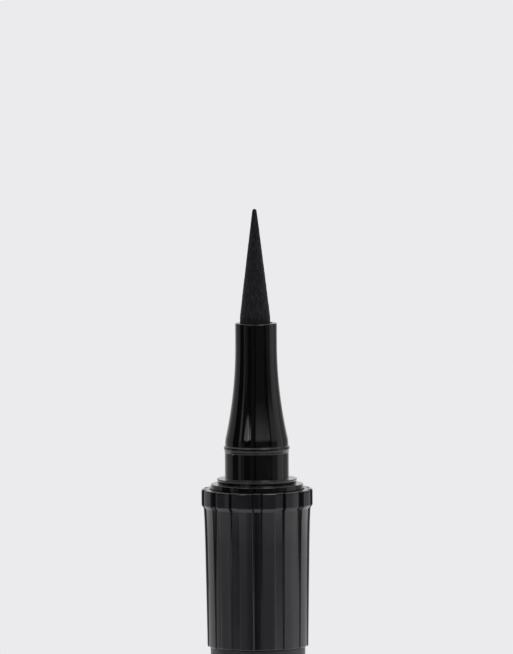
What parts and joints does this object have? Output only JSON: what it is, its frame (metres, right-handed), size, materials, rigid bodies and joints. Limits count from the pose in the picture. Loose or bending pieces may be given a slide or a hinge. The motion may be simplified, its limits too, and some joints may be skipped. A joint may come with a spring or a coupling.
{
  "type": "liquid eyeliner pen",
  "caption": "Upright liquid eyeliner pen with a felt nib, flared nose, fluted grip sleeve, plain barrel and a cap posted on the tail.",
  "frame": {"origin": "centre of the closed end of the cap, the face that the pen stands on", "axes": "+Z along the pen's axis, up towards the nib; +Y away from the viewer, with a groove of the sleeve facing each way along Y"},
  "size_m": [0.01, 0.01, 0.1434],
  "materials": {
    "felt": "bonded fibre soaked in black ink, matt",
    "gloss_black": "polished black moulding",
    "sleeve_black": "black moulding, semi-gloss",
    "barrel_black": "black moulding with a fine satin skin",
    "natural_plastic": "natural milky moulding",
    "ball_steel": "polished stainless steel"
  },
  "bodies": {
    "pen": {"nib": "felt", "nib_holder": "natural_plastic", "nose_cone": "gloss_black", "neck_collar": "gloss_black", "grip_sleeve": "sleeve_black", "ink_collector": "natural_plastic", "feed_rod": "felt", "tank_stopper": "natural_plastic", "ink_tank": "natural_plastic", "barrel": "barrel_black", "tail_plug": "barrel_black"},
    "cap": {"cap_shell": "barrel_black", "inner_cap": "natural_plastic"},
    "ball": {"mixing_ball": "ball_steel"}
  },
  "joints": [
    {"name": "cap_pull", "type": "slide", "parent": "pen", "child": "cap", "axis": [0, 0, -1], "range_m": [0, 0.0075]},
    {"name": "ball_travel", "type": "slide", "parent": "pen", "child": "ball", "axis": [0, 0, 1], "range_m": [0, 0.056]}
  ]
}
